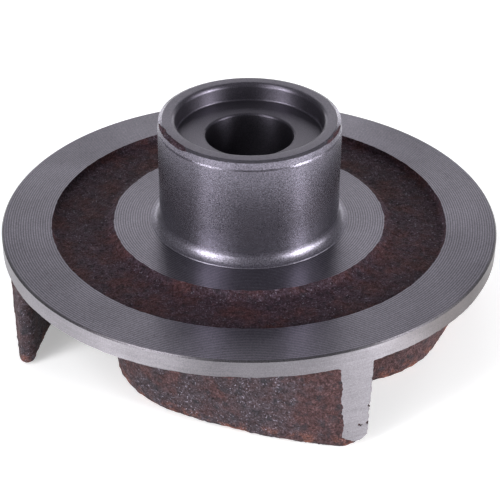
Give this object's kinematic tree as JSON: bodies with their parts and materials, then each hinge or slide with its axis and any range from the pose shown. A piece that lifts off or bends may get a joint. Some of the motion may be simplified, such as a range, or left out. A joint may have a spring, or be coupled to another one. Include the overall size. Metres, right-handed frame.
{
  "type": "pump impeller",
  "caption": "Semi-open centrifugal pump impeller: a turned disc with a bored seal hub on one side and curved cast vanes on the other.",
  "frame": {"origin": "on the shaft axis, in the plane of the vanes' free edges, which is the plane the impeller stands on", "axes": "+Z along the shaft bore towards the hub's end face; -Y faces the viewer, just left of the first vane's tip; +X to the right"},
  "size_m": [0.098, 0.098, 0.0445],
  "materials": {
    "cast_iron": "turned grey faces on the hub, disc and rim; as-cast dark brown rust on the vanes, the underside and the recessed ring"
  },
  "bodies": {
    "root": {"impeller": "cast_iron"}
  },
  "joints": []
}
